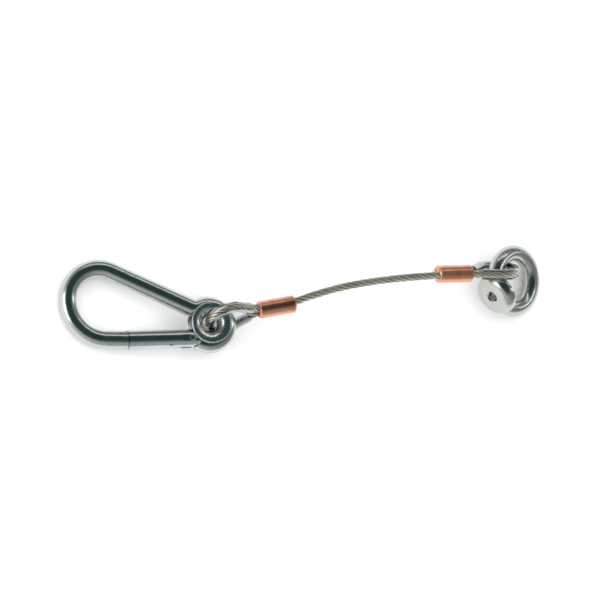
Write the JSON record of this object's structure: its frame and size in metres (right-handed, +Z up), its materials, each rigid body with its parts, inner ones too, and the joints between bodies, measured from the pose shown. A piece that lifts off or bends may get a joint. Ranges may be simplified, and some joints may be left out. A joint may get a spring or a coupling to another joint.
{
  "type": "wire rope tether",
  "caption": "Short steel wire-rope tether with a sprung snap hook at one end and a tapped lifting eye nut at the other.",
  "frame": {"origin": "centre of the footprint, on the surface the tether lies on", "axes": "+X from the snap hook to the eye nut, +Z up from the surface"},
  "size_m": [0.2579, 0.0604, 0.0285],
  "materials": {
    "hook_steel": "polished bright plating",
    "gate_steel": "polished bright plating",
    "spring_steel": "plain spring steel",
    "eyelet_steel": "polished bright plating",
    "rope_wire": "bright drawn wire, stranded",
    "thimble_steel": "satin plated sheet",
    "copper": "swaged copper, lightly polished",
    "nut_steel": "polished bright plating over a forging"
  },
  "bodies": {
    "snap_hook": {"hook_body": "hook_steel"},
    "gate": {"gate": "gate_steel", "hinge_rivet": "gate_steel", "gate_spring": "spring_steel"},
    "plunger": {"spring_plunger": "spring_steel"},
    "eyelet": {"eyelet": "eyelet_steel"},
    "lanyard": {"wire_rope": "rope_wire", "thimble_hook_end": "thimble_steel", "thimble_nut_end": "thimble_steel", "ferrule_hook_end": "copper", "ferrule_nut_end": "copper"},
    "eye_nut": {"eye_nut": "nut_steel"}
  },
  "joints": [
    {"name": "gate_hinge", "type": "hinge", "parent": "snap_hook", "child": "gate", "pos_m": [-0.06156, -0.0229, 0.01052], "axis": [0.0958, 0, -0.9954], "range_deg": [0, 30], "stiffness_Nm_per_rad": 0.35, "springref_deg": -5.73},
    {"name": "plunger_slide", "type": "slide", "parent": "gate", "child": "plunger", "axis": [-0.9944, -0.0454, -0.0957], "range_m": [0, 0.0007], "deforming": ["gate_spring"]},
    {"name": "eyelet_swivel", "type": "hinge", "parent": "snap_hook", "child": "eyelet", "pos_m": [-0.05175, -0.0153, 0.01146], "axis": [-0.0958, 0, 0.9954], "range_deg": [-135, 95]},
    {"name": "hook_eye_swing", "type": "hinge", "parent": "eyelet", "child": "lanyard", "pos_m": [-0.0428, -0.0124, 0.0126], "axis": [-0.2209, 0.8793, -0.422], "range_deg": [-115, 110]},
    {"name": "nut_turn", "type": "hinge", "parent": "lanyard", "child": "eye_nut", "pos_m": [0.1125, 0.0123, 0.0106], "axis": [0.4574, -0.1251, 0.8804], "range_deg": [0, 235]}
  ],
  "couplings": [
    {"joint": "plunger_slide", "follows": "gate_hinge", "m_per_rad": 0.0012}
  ]
}
